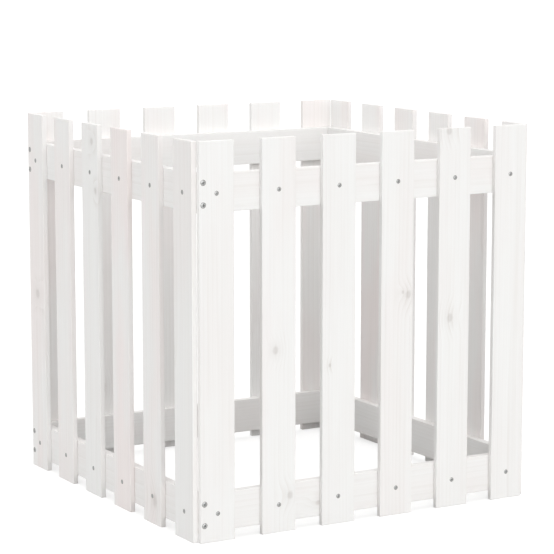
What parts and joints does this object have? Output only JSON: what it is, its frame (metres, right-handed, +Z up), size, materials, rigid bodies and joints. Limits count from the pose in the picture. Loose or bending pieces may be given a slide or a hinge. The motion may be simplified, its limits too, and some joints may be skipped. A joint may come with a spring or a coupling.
{
  "type": "picket planter",
  "caption": "Square open-topped garden planter of white upright picket boards screwed to a top and a bottom frame of rails, with no floor, to stand round a plant container.",
  "frame": {"origin": "middle of the square on the ground, at the feet of the pickets", "axes": "+Z up, +X to the right seen from the front, the front panel faces -Y"},
  "size_m": [0.6012, 0.6012, 0.6],
  "materials": {
    "white_painted_wood": "thin matt white paint over pine, faint grain and knots showing",
    "zinc_plated_steel": "zinc-plated wood screws, dull silver-grey"
  },
  "bodies": {
    "root": {"front_picket_1": "white_painted_wood", "front_picket_2": "white_painted_wood", "front_picket_3": "white_painted_wood", "front_picket_4": "white_painted_wood", "front_picket_5": "white_painted_wood", "front_picket_6": "white_painted_wood", "front_top_rail": "white_painted_wood", "front_bottom_rail": "white_painted_wood", "right_picket_1": "white_painted_wood", "right_picket_2": "white_painted_wood", "right_picket_3": "white_painted_wood", "right_picket_4": "white_painted_wood", "right_picket_5": "white_painted_wood", "right_picket_6": "white_painted_wood", "right_top_rail": "white_painted_wood", "right_bottom_rail": "white_painted_wood", "back_picket_1": "white_painted_wood", "back_picket_2": "white_painted_wood", "back_picket_3": "white_painted_wood", "back_picket_4": "white_painted_wood", "back_picket_5": "white_painted_wood", "back_picket_6": "white_painted_wood", "back_top_rail": "white_painted_wood", "back_bottom_rail": "white_painted_wood", "left_picket_1": "white_painted_wood", "left_picket_2": "white_painted_wood", "left_picket_3": "white_painted_wood", "left_picket_4": "white_painted_wood", "left_picket_5": "white_painted_wood", "left_picket_6": "white_painted_wood", "left_top_rail": "white_painted_wood", "left_bottom_rail": "white_painted_wood", "front_picket_screws": "zinc_plated_steel", "front_corner_screws": "zinc_plated_steel", "right_picket_screws": "zinc_plated_steel", "right_corner_screws": "zinc_plated_steel", "back_picket_screws": "zinc_plated_steel", "back_corner_screws": "zinc_plated_steel", "left_picket_screws": "zinc_plated_steel", "left_corner_screws": "zinc_plated_steel"}
  },
  "joints": []
}
